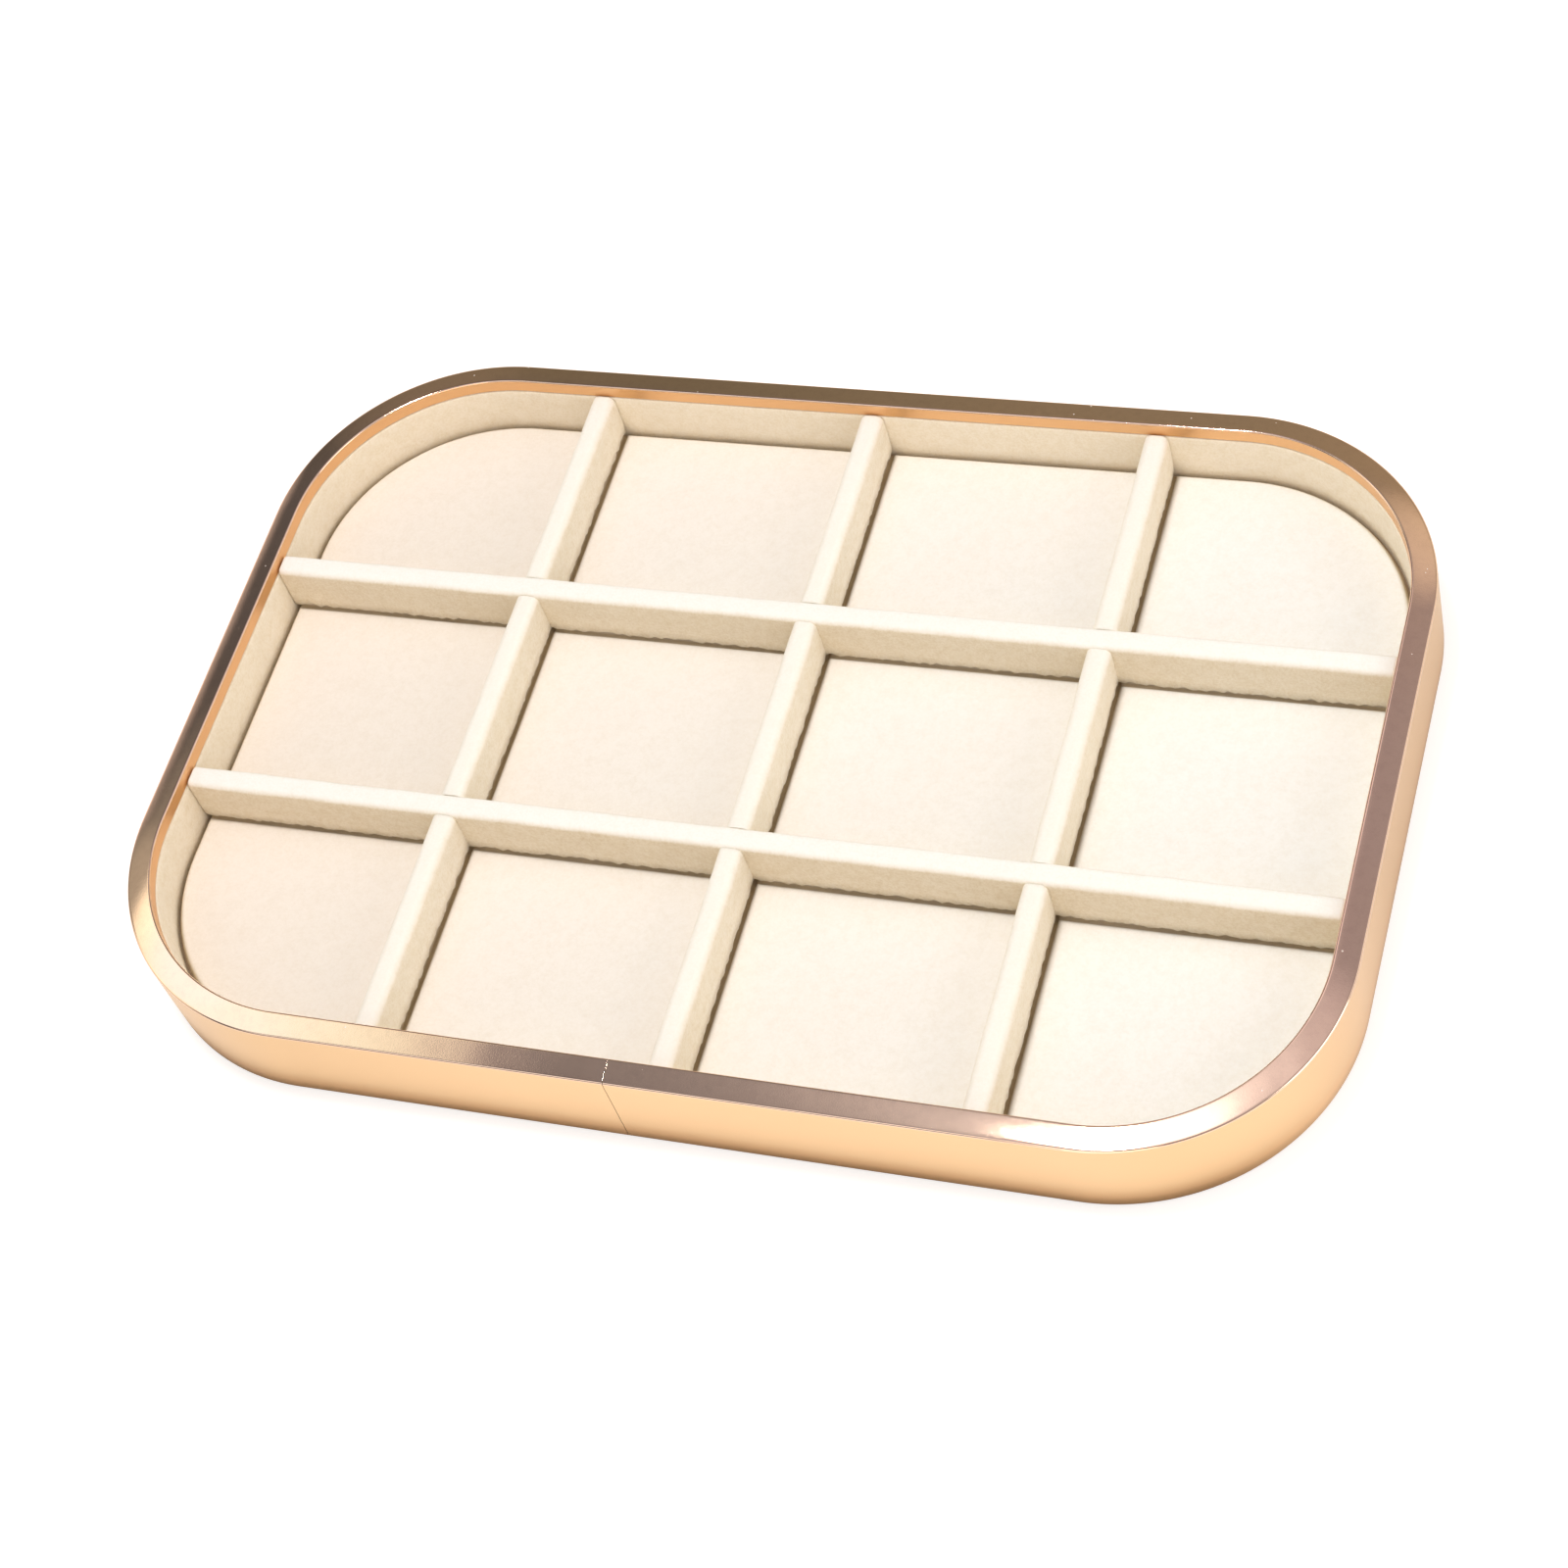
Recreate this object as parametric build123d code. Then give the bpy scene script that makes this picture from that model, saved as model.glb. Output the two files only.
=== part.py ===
from build123d import *
import os

# Jewelry tray. A bent metal frame is closed round a base board, a cloth liner stands
# inside it, a padded floor lies on the board, and a crossed grid of wrapped dividers
# drops in. Millimetres, +X along the tray, +Y to its back, +Z up, with the origin at
# the middle of the plane it rests on.

# Overall size
tray_length = 350.0
tray_width = 238.5
tray_height = 31.0
corner_radius = 63.5

# Frame section, measured inwards from the outer face
wall_thickness = 1.6
rim_width = 7.2
rim_fall = 1.3
rim_thickness = 1.5
lip_depth = 4.7
lip_thickness = 3.0
foot_radius = 4.0
foot_thickness = 1.6
foot_width = 9.0
ledge_thickness = 1.2
hook_height = 3.1
hook_thickness = 1.2
hook_reach = 5.4
arris_width = 0.3

# Seam of the frame, on the front
seam_x = -12.5
seam_gap = 0.15

# Splice bar and its set screws, inside the frame behind the seam
splice_length = 64.0
splice_clearance = 0.1
splice_bevel = 0.6
set_screw_radius = 1.5
set_screw_length = 3.0
set_screw_clearance = 0.05
set_screw_near = 12.0
set_screw_far = 25.0
set_screw_point = 0.5
hex_socket_radius = 0.85
hex_socket_depth = 1.4
hex_sides = 6

# Base board, held in the frame's channel, and the sheet glued under it
board_thickness = 6.0
board_edge_clearance = 0.4
board_channel_clearance = 0.1
underside_thickness = 0.6
underside_margin = 0.4

# Liner round the inside of the frame
liner_board_thickness = 1.2
liner_cloth_thickness = 0.6
liner_back_clearance = 0.1
liner_top_clearance = 0.1
liner_seam_x = 31.0
liner_seam_gap = 0.2

# Padded floor
floor_gap = 0.8
floor_card_thickness = 1.2
floor_foam_thickness = 1.8
floor_cloth_thickness = 0.6
floor_cloth_hem = 0.3
floor_edge_bevel = 1.8

# Dividers, each a board in a padded cloth wrap
divider_board_thickness = 5.0
wrap_thickness = 1.0
wrap_edge_radius = 1.5
wrap_end_bevel = 0.5
long_divider_drop = 3.0
cross_divider_drop = 3.7
divider_end_gap = 0.4
divider_foot_gap = 0.3
divider_hem = 0.7
long_divider_spacing = 77.2
cross_divider_spacing = 86.0
lap_side_clearance = 0.15
lap_height_clearance = 0.3

# Overrun of every cut past the faces that it goes through
overrun = 2.0

# Worked out from the sizes above
half_length = tray_length / 2
half_width = tray_width / 2
corner_x = half_length - corner_radius
corner_y = half_width - corner_radius
lip_bottom = tray_height - lip_depth
lip_back = rim_width - lip_thickness
board_bottom = foot_thickness
board_top = board_bottom + board_thickness
ledge_bottom = board_top + board_channel_clearance
ledge_top = ledge_bottom + ledge_thickness
hook_top = ledge_top + hook_height
hook_back = hook_reach - hook_thickness
liner_back = hook_reach + liner_back_clearance
liner_cloth_back = liner_back + liner_board_thickness
liner_face = liner_cloth_back + liner_cloth_thickness
liner_top = lip_bottom - liner_top_clearance
floor_edge = liner_face + floor_gap
floor_foam_edge = floor_edge + floor_cloth_thickness
floor_card_top = board_top + floor_card_thickness
floor_foam_top = floor_card_top + floor_foam_thickness
floor_top = floor_foam_top + floor_cloth_thickness
divider_bottom = floor_top + divider_foot_gap
divider_thickness = divider_board_thickness + 2 * wrap_thickness
long_divider_top = tray_height - long_divider_drop
cross_divider_top = tray_height - cross_divider_drop
long_divider_length = tray_length - 2 * (liner_face + divider_end_gap)
cross_divider_length = tray_width - 2 * (liner_face + divider_end_gap)
lap_height = (divider_bottom + cross_divider_top) / 2
lap_width = divider_thickness + 2 * lap_side_clearance
long_divider_places = {"rear": long_divider_spacing / 2, "front": -long_divider_spacing / 2}
cross_divider_places = {
    "left": -cross_divider_spacing,
    "middle": 0,
    "right": cross_divider_spacing,
}


def rim_height(inward):
    """Height of the sloping rim face at a distance inwards from the outer face."""
    return tray_height - rim_fall * (rim_width - inward) / rim_width


def nearest_corner(section, inward, height):
    """The section's corner that lies nearest to a point."""
    return section.vertices().sort_by_distance((inward, height, 0))[0]


def rectangle_section(near, far, bottom, top):
    """A section from one distance inwards to another, and from one height to another."""
    return Pos((near + far) / 2, (bottom + top) / 2) * Rectangle(far - near, top - bottom)


def bend_round(section):
    """Carry a section, drawn inwards from the outer face and up, round the tray's outline."""
    straight_x = 2 * corner_x
    straight_y = 2 * corner_y
    legs = (
        ((half_length, -corner_y), (-1, 0, 0), (0, 1, 0), straight_y, (corner_x, corner_y)),
        ((corner_x, half_width), (0, -1, 0), (-1, 0, 0), straight_x, (-corner_x, corner_y)),
        ((-half_length, corner_y), (1, 0, 0), (0, -1, 0), straight_y, (-corner_x, -corner_y)),
        ((-corner_x, -half_width), (0, 1, 0), (1, 0, 0), straight_x, (corner_x, -corner_y)),
    )
    band = Part()
    for start, inward, along, run, centre in legs:
        start_plane = Plane(origin=(*start, 0), x_dir=inward, z_dir=along)
        end_plane = start_plane.offset(run)
        leg = extrude(start_plane * section, run, dir=along)
        bend = revolve(end_plane * section, Axis((*centre, 0), (0, 0, 1)), 90)
        band += [leg, bend]
    return band


def cut_seam(band, place_x, gap, reach):
    """Open a band's butt joint, square across its front leg."""
    depth = reach + 2 * overrun
    height = tray_height + 2 * overrun
    saw = Pos(place_x, -half_width + reach / 2, tray_height / 2) * Box(gap, depth, height)
    return band - saw


def panel(inset, bottom, top):
    """A flat sheet that follows the tray's outline at a distance inwards from its outer face."""
    outline = RectangleRounded(
        tray_length - 2 * inset, tray_width - 2 * inset, corner_radius - inset
    )
    return Pos(0, 0, bottom) * extrude(outline, top - bottom)


def frame_band():
    """The extruded section: wall, sloping rim, lip, splice channel, board channel and foot."""
    corners = (
        (0, 0),
        (foot_width, 0),
        (foot_width, foot_thickness),
        (wall_thickness, foot_thickness),
        (wall_thickness, ledge_bottom),
        (hook_reach, ledge_bottom),
        (hook_reach, hook_top),
        (hook_back, hook_top),
        (hook_back, ledge_top),
        (wall_thickness, ledge_top),
        (wall_thickness, rim_height(wall_thickness) - rim_thickness),
        (lip_back, rim_height(lip_back) - rim_thickness),
        (lip_back, lip_bottom),
        (rim_width, lip_bottom),
        (rim_width, tray_height),
        (0, rim_height(0)),
    )
    section = make_face(Polyline(*corners, close=True))
    section = fillet(nearest_corner(section, 0, 0), foot_radius)
    inside_foot = nearest_corner(section, wall_thickness, foot_thickness)
    section = chamfer(inside_foot, foot_radius - wall_thickness)
    for inward, height in (
        (0, rim_height(0)),
        (rim_width, tray_height),
        (rim_width, lip_bottom),
        (foot_width, foot_thickness),
    ):
        section = chamfer(nearest_corner(section, inward, height), arris_width)
    return cut_seam(bend_round(section), seam_x, seam_gap, foot_width)


def set_screw_places():
    """Where the set screws stand along the splice bar, two on each side of the seam."""
    offsets = (-set_screw_far, -set_screw_near, set_screw_near, set_screw_far)
    return [seam_x + offset for offset in offsets]


def splice_middle_height():
    """Half way up the open face of the splice channel, between hook and lip."""
    return (hook_top + lip_bottom) / 2


def frame_splice():
    """A flat bar in the frame's channel, bridging the seam, with holes for its set screws."""
    near = wall_thickness + splice_clearance
    far = hook_back - splice_clearance
    bottom = ledge_top + splice_clearance
    top = rim_height(wall_thickness) - rim_thickness - splice_clearance
    blank = Box(splice_length, far - near, top - bottom)
    blank = chamfer(blank.edges().filter_by(Axis.Z), splice_bevel)
    bar = Pos(seam_x, -half_width + (near + far) / 2, (bottom + top) / 2) * blank
    for place_x in set_screw_places():
        hole = Cylinder(set_screw_radius + set_screw_clearance, far - near + 2 * overrun)
        middle = (place_x, -half_width + (near + far) / 2, splice_middle_height())
        bar -= Pos(*middle) * Rot(90, 0, 0) * hole
    return bar


def splice_screws():
    """Set screws that jack the splice bar against the hook and the lip."""
    shank = Cylinder(set_screw_radius, set_screw_length)
    shank = chamfer(shank.edges().sort_by(Axis.Z)[-1], set_screw_point)
    socket = extrude(RegularPolygon(hex_socket_radius, hex_sides), hex_socket_depth)
    screw = shank - Pos(0, 0, -set_screw_length / 2) * socket
    tip = wall_thickness + set_screw_clearance
    middle_y = -half_width + tip + set_screw_length / 2
    turned = Rot(90, 0, 0) * screw
    return [Pos(x, middle_y, splice_middle_height()) * turned for x in set_screw_places()]


def base_board():
    """The board whose edge the frame's channel holds, its lower edge bevelled to clear the foot."""
    board = panel(wall_thickness + board_edge_clearance, board_bottom, board_top)
    lower_face = board.faces().sort_by(Axis.Z)[0]
    return chamfer(lower_face.edges(), foot_radius - wall_thickness)


def underside_sheet():
    """The thin sheet under the board, inside the foot flange and clear of the table."""
    inset = foot_width + underside_margin
    return panel(inset, board_bottom - underside_thickness, board_bottom)


def liner_board():
    """A strip that stands on the base board, behind the lip's line, bent round the inside."""
    top = liner_top - liner_cloth_thickness
    strip = bend_round(rectangle_section(liner_back, liner_cloth_back, board_top, top))
    return cut_seam(strip, liner_seam_x, liner_seam_gap, liner_face)


def liner_cloth():
    """The cloth on the strip: down its inner face and turned over its top edge."""
    top_of_board = liner_top - liner_cloth_thickness
    face_sheet = rectangle_section(liner_cloth_back, liner_face, board_top, liner_top)
    fold = rectangle_section(liner_back, liner_cloth_back, top_of_board, liner_top)
    section = face_sheet + fold
    section = chamfer(nearest_corner(section, liner_face, liner_top), liner_cloth_thickness / 2)
    return cut_seam(bend_round(section), liner_seam_x, liner_seam_gap, liner_face)


def floor_card():
    """The card that stiffens the padded floor."""
    return panel(floor_foam_edge, board_top, floor_card_top)


def padded_edge(sheet, bevel):
    """Slope off the upper edge of a flat padded sheet."""
    top_face = sheet.faces().sort_by(Axis.Z)[-1]
    return chamfer(top_face.edges(), bevel)


def floor_foam():
    """The thin foam on the card."""
    pad = panel(floor_foam_edge, floor_card_top, floor_foam_top)
    return padded_edge(pad, floor_edge_bevel - floor_cloth_thickness)


def floor_cloth():
    """The cloth over the foam, turned down round the edge of foam and card."""
    outside = padded_edge(panel(floor_edge, board_top + floor_cloth_hem, floor_top), floor_edge_bevel)
    inside = panel(floor_foam_edge, board_top, floor_foam_top)
    return outside - padded_edge(inside, floor_edge_bevel - floor_cloth_thickness)


def upright_strip(length, thickness, bottom, top):
    """A strip that stands along X."""
    return Pos(0, 0, (bottom + top) / 2) * Box(length, thickness, top - bottom)


def upper_edges(strip):
    """The two long edges of a strip's top."""
    return strip.faces().sort_by(Axis.Z)[-1].edges().filter_by(Axis.X)


def bevelled_ends(strip, bevel):
    """Bevel both ends of a strip, up one side, over its top and down the other."""
    for end in (0, -1):
        end_face = strip.faces().sort_by(Axis.X)[end]
        edges = end_face.edges().sort_by(Axis.Z)[1:]
        strip = chamfer(edges, bevel)
    return strip


def divider_pieces(length, top):
    """The board of a divider and the cloth wrap that covers it all but underneath."""
    board_length = length - 2 * wrap_thickness
    board_crest = top - wrap_thickness
    board = upright_strip(board_length, divider_board_thickness, divider_bottom, board_crest)
    board = chamfer(upper_edges(board), wrap_edge_radius - wrap_thickness)
    hem = divider_bottom + divider_hem
    outside = upright_strip(length, divider_thickness, hem, top)
    outside = fillet(upper_edges(outside), wrap_edge_radius)
    return board, bevelled_ends(outside, wrap_end_bevel) - board


def lap_slot(bottom, top):
    """The block that a half lap removes, through a divider's thickness."""
    through = divider_thickness + 2 * overrun
    return Pos(0, 0, (bottom + top) / 2) * Box(lap_width, through, top - bottom)


def long_divider(place_y):
    """A divider along the tray, notched from below where it drops over each cross divider."""
    board, wrap = divider_pieces(long_divider_length, long_divider_top)
    slot = lap_slot(divider_bottom - overrun, lap_height + lap_height_clearance)
    for cross_x in cross_divider_places.values():
        board -= Pos(cross_x, 0, 0) * slot
        wrap -= Pos(cross_x, 0, 0) * slot
    return Pos(0, place_y, 0) * board, Pos(0, place_y, 0) * wrap


def cross_divider(place_x):
    """A divider across the tray, notched from above where the long dividers drop in."""
    board, wrap = divider_pieces(cross_divider_length, cross_divider_top)
    slot = lap_slot(lap_height, cross_divider_top + overrun)
    for long_y in long_divider_places.values():
        board -= Pos(long_y, 0, 0) * slot
        wrap -= Pos(long_y, 0, 0) * slot
    turned = Pos(place_x, 0, 0) * Rot(0, 0, 90)
    return turned * board, turned * wrap


def write_node(name, shape):
    """Write one node's solids to its own file."""
    solids = shape if isinstance(shape, list) else shape.solids()
    node = solids[0] if len(solids) == 1 else Compound(children=list(solids))
    node.label = name
    export_step(node, f"parts/{name}.step")


def main():
    os.makedirs("parts", exist_ok=True)
    write_node("frame_band", frame_band())
    write_node("frame_splice", frame_splice())
    write_node("splice_screws", splice_screws())
    write_node("base_board", base_board())
    write_node("underside_sheet", underside_sheet())
    write_node("liner_board", liner_board())
    write_node("liner_cloth", liner_cloth())
    write_node("floor_card", floor_card())
    write_node("floor_foam", floor_foam())
    write_node("floor_cloth", floor_cloth())
    for place, place_y in long_divider_places.items():
        board, wrap = long_divider(place_y)
        write_node(f"long_divider_{place}_board", board)
        write_node(f"long_divider_{place}_wrap", wrap)
    for place, place_x in cross_divider_places.items():
        board, wrap = cross_divider(place_x)
        write_node(f"cross_divider_{place}_board", board)
        write_node(f"cross_divider_{place}_wrap", wrap)


main()
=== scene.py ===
from math import copysign, cos, exp, pi, radians, sin, sqrt, tau

import bmesh
import bpy
from mathutils import Matrix, Vector, noise


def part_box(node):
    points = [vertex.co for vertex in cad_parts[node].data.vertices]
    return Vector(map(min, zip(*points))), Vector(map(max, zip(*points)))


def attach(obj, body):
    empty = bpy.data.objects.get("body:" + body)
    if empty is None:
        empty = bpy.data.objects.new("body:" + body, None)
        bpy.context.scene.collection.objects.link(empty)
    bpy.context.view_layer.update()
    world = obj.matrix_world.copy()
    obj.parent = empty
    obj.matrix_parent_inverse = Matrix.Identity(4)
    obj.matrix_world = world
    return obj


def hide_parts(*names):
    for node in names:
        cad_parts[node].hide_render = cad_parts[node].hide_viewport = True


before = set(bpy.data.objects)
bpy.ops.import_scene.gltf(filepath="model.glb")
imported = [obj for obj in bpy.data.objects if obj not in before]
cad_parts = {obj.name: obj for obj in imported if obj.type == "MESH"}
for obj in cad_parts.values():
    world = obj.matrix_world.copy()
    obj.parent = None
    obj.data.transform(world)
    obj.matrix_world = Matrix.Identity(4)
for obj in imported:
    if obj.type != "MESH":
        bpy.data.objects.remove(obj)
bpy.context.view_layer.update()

# Lengths are in metres, heights are above the table and "inward" is from the frame's outer face
MM = 0.001
NEAR = 0.01 * MM
LAYER_GAP = 0.05 * MM

# The tray's outline and the frame's section
tray_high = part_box("frame_band")[1]
HALF_LENGTH = tray_high.x
HALF_WIDTH = tray_high.y
CORNER_RADIUS = 63.5 * MM
CORNER_X = HALF_LENGTH - CORNER_RADIUS
CORNER_Y = HALF_WIDTH - CORNER_RADIUS
BEND_STEPS = 48
FELT_CORNER_STEPS = 24
FRAME_STEP = 20 * MM
RIM_TOP = 31.0 * MM
RIM_WIDTH = 7.2 * MM
RIM_FALL = 1.3 * MM
RIM_THICKNESS = 1.5 * MM
RIM_CROWN = 0.06 * MM
RIM_CROWN_STEPS = 8
WALL_THICKNESS = 1.6 * MM
LIP_BOTTOM = 26.3 * MM
FOOT_RADIUS = 2.5 * MM
FOOT_THICKNESS = 1.6 * MM
FOOT_WIDTH = 9.0 * MM
LEDGE_BOTTOM = 7.7 * MM
LEDGE_TOP = 8.9 * MM
HOOK_TOP = 12.0 * MM
HOOK_REACH = 5.4 * MM
HOOK_BACK = 4.2 * MM
ARRIS = 0.5 * MM
INNER_ARRIS = 0.6 * MM
SEAM_X = -12.5 * MM
SEAM_GAP = 0.15 * MM
SEAM_ARRIS = 0.04 * MM
SEAM_ARRIS_STEPS = 2

# Rows of unevenness: how high the waves are, how long, and the step to their own seed
SEED = 7
SEED_STRIDE = 3.1

# Up to how many degrees two faces are shaded as one
METAL_SMOOTH_ANGLE = 35
WRAP_SMOOTH_ANGLE = 50
FLOOR_SMOOTH_ANGLE = 60

# The liner's cloth
BOARD_TOP = 7.6 * MM
LINER_BACK = 5.5 * MM
LINER_CLOTH_BACK = 6.75 * MM
LINER_FACE = 7.3 * MM
LINER_TOP = 26.2 * MM
LINER_TOP_ROUNDING = 0.5 * MM
LINER_TURN_IN = 0.55 * MM
LINER_SIDE_HEIGHTS = (10 * MM, 13 * MM, 17 * MM, 21 * MM, 24 * MM)
LINER_STEP = 4 * MM
LINER_SEAM_X = 31.0 * MM
LINER_SEAM_GAP = 0.2 * MM
LINER_BULGE = 0.08 * MM
LINER_SWELL = ((0.10 * MM, 16 * MM, 0), (0.05 * MM, 6 * MM, 2))
LINER_FACE_REACH = 0.2 * MM
LINER_TOP_MARGIN = 1.0 * MM

# The padded floor; its grid lines are in millimetres from its edge and from a divider's middle
FLOOR_TOP = 11.2 * MM
FLOOR_EDGE = 8.1 * MM
FLOOR_EDGE_ROUNDING = 2.0 * MM
FLOOR_EDGE_DROP = 3.0 * MM
FLOOR_EDGE_LINES = (0.0, 0.15, 0.35, 0.6, 0.9, 1.25, 1.8, 2.6, 3.6, 5.0, 7.0)
GROOVE_LINES = (2.1, 2.6, 3.5, 3.7, 3.9, 4.1, 4.35, 4.6, 4.9, 5.2, 5.6, 6.1, 7.0, 9.0)
FLOOR_STEP = 3.0 * MM
CROSS_GROOVE_DROP = 1.4 * MM
LONG_GROOVE_DROP = 0.7 * MM
CROSS_GROOVE_ROUNDING = 2.4 * MM
LONG_GROOVE_ROUNDING = 1.4 * MM
GROOVE_OFFSET = 0.25 * MM
GROOVE_BACK = 0.5 * MM
FLOOR_CROWN = 0.42 * MM
FLOOR_CROWN_REACH = 1.6 * MM
FLOOR_CROWN_EDGE_REACH = 5.0 * MM
FLOOR_WAVES = ((0.06 * MM, 22 * MM, 5), (0.02 * MM, 7 * MM, 6))
FLOOR_WAVES_EDGE = 3.0 * MM
FLOOR_CLOTH = 0.6 * MM
FLOOR_HEM = 7.9 * MM
CARD_TOP = 8.8 * MM
# Painted shade in the floor's creases: how far below the floor's top it starts, and the depth over
# which it becomes full
CREASE_SHADE_START = 0.1 * MM
CREASE_SHADE_DEPTH = 0.9 * MM

# The dividers and their wraps
DIVIDER_HALF = 3.5 * MM
DIVIDER_BOTTOM = 11.5 * MM
LONG_DIVIDER_Y = 38.6 * MM
CROSS_DIVIDER_X = 86.0 * MM
LONG_PLACES = (-LONG_DIVIDER_Y, LONG_DIVIDER_Y)
CROSS_PLACES = (-CROSS_DIVIDER_X, 0, CROSS_DIVIDER_X)
LONG_DIVIDER_TOP = 28.0 * MM
CROSS_DIVIDER_TOP = 27.3 * MM
LAP_HEIGHT = 19.4 * MM
LAP_PRESS = 0.12 * MM
LAP_HEIGHT_CLEARANCE = 0.3 * MM
LAP_OVERCUT = 2.0 * MM
WRAP_THICKNESS = 0.9 * MM
LONG_WRAP_ROUNDING = 1.9 * MM
CROSS_WRAP_ROUNDING = 2.4 * MM
WRAP_ROUNDING_STEPS = 7
WRAP_STEP = 1.0 * MM
WRAP_SIDE_SHARES = (0.22, 0.45, 0.68)
WRAP_END_ROUNDING = 0.9 * MM
WRAP_END_STEPS = 3
WRAP_END_GAP = 0.15 * MM
WRAP_HEM = 0.85 * MM
WRAP_SWELL = ((0.16 * MM, 14 * MM, 0), (0.10 * MM, 5 * MM, 1))
WRAP_SWELL_START = 2.0 * MM
WRAP_TOP_WAVES = ((0.16 * MM, 15 * MM, 2),)
WRAP_TOP_SINK = 0.04 * MM
WRAP_TOP_DEPTH = 1.0 * MM
HEM_RAGS = ((0.36 * MM, 9 * MM, 3), (1.44 * MM, 2.1 * MM, 4))
HEM_LOWEST = -0.66 * MM
HEM_HIGHEST = 0.72 * MM


# Handling meshes


def clamp(value, low=0.0, high=1.0):
    return min(high, max(low, value))


def deselect_everything():
    if bpy.context.object and bpy.context.object.mode != "OBJECT":
        bpy.ops.object.mode_set(mode="OBJECT")
    bpy.ops.object.select_all(action="DESELECT")


def added(name):
    """Name the primitive that was just added, and go into edit mode on it."""
    piece = bpy.context.object
    piece.name = name
    piece.data.name = name
    bpy.ops.object.transform_apply(location=True, rotation=True, scale=True)
    bpy.ops.object.mode_set(mode="EDIT")
    return piece


def pick(piece, part, test):
    """Select those vertices, edges or faces of a piece in edit mode that pass a test."""
    bpy.ops.mesh.select_mode(type={"verts": "VERT", "edges": "EDGE", "faces": "FACE"}[part])
    bpy.ops.mesh.select_all(action="DESELECT")
    shape = bmesh.from_edit_mesh(piece.data)
    for element in getattr(shape, part):
        if test(element):
            element.select_set(True)
    bmesh.update_edit_mesh(piece.data)


def points_of(element):
    return [vertex.co for vertex in element.verts]


def all_points(test):
    """A test of an edge or face that each of its points passes."""
    return lambda element: all(test(point) for point in points_of(element))


def finish_mesh(piece, smooth_angle=METAL_SMOOTH_ANGLE):
    """Turn all faces outwards, leave edit mode and shade the piece smooth up to an angle."""
    bpy.ops.mesh.select_all(action="SELECT")
    bpy.ops.mesh.normals_make_consistent(inside=False)
    bpy.ops.object.mode_set(mode="OBJECT")
    bpy.ops.object.shade_smooth_by_angle(angle=radians(smooth_angle))
    return piece


def apply_modifiers(piece):
    deselect_everything()
    piece.select_set(True)
    bpy.context.view_layer.objects.active = piece
    for modifier in list(piece.modifiers):
        bpy.ops.object.modifier_apply(modifier=modifier.name)


def shift_points(piece, move):
    """Move each point of a piece by what a rule gives for its place."""
    for vertex in piece.data.vertices:
        vertex.co = vertex.co + move(vertex.co.copy())
    piece.data.update()


def unevenness(point, seed, waves):
    """Smooth random waves at a point, added up."""
    total = 0.0
    for height, size, step in waves:
        own_seed = seed + step
        start = Vector((own_seed, SEED_STRIDE * own_seed, 0))
        total += height * noise.noise(Vector(point) / size + start)
    return total


# Sections carried along a line


def section(name, corners, start_x, start_y):
    """A face across the X direction, with its corners given across and up from a start."""
    deselect_everything()
    bpy.ops.mesh.primitive_circle_add(vertices=len(corners), radius=RIM_WIDTH, fill_type="NGON")
    piece = added(name)
    shape = bmesh.from_edit_mesh(piece.data)
    for vertex, (across, height) in zip(shape.verts, corners):
        vertex.co = (start_x, start_y + across, height)
    bmesh.update_edit_mesh(piece.data)
    return piece


def round_corner(piece, inward, height, offset, segments):
    """Round the section's corner that lies at a distance inwards and a height."""

    def here(vertex):
        across = vertex.co.y + HALF_WIDTH - inward
        return abs(across) < NEAR and abs(vertex.co.z - height) < NEAR

    pick(piece, "verts", here)
    bpy.ops.mesh.bevel(offset=offset, segments=segments, affect="VERTICES", clamp_overlap=False)


def run_straight(way, distance, step):
    count = max(1, round(distance / step))
    move = [axis * distance / count for axis in way]
    for _ in range(count):
        bpy.ops.mesh.extrude_region_move(TRANSFORM_OT_translate={"value": move})


def turn_corner(centre_x, centre_y):
    bpy.ops.mesh.spin(
        steps=BEND_STEPS, angle=-pi / 2, center=(centre_x, centre_y, 0), axis=(0, 0, 1)
    )


def carried_round(name, corners, rounded, seam_x, seam_gap, step):
    """A section with rounded corners, carried round the outline from its seam back to it."""
    start_x = seam_x + seam_gap / 2
    end_x = seam_x - seam_gap / 2
    piece = section(name, corners, start_x, -HALF_WIDTH)
    for inward, height, offset, segments in rounded:
        round_corner(piece, inward, height, offset, segments)
    bpy.ops.mesh.select_mode(type="FACE")
    bpy.ops.mesh.select_all(action="SELECT")
    run_straight((1, 0, 0), CORNER_X - start_x, step)
    for side_x, side_y, way, distance in (
        (1, -1, (0, 1, 0), 2 * CORNER_Y),
        (1, 1, (-1, 0, 0), 2 * CORNER_X),
        (-1, 1, (0, -1, 0), 2 * CORNER_Y),
        (-1, -1, (1, 0, 0), end_x + CORNER_X),
    ):
        turn_corner(side_x * CORNER_X, side_y * CORNER_Y)
        run_straight(way, distance, step)
    return piece


def rim_height(inward):
    return RIM_TOP - RIM_FALL * (RIM_WIDTH - inward) / RIM_WIDTH


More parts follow.
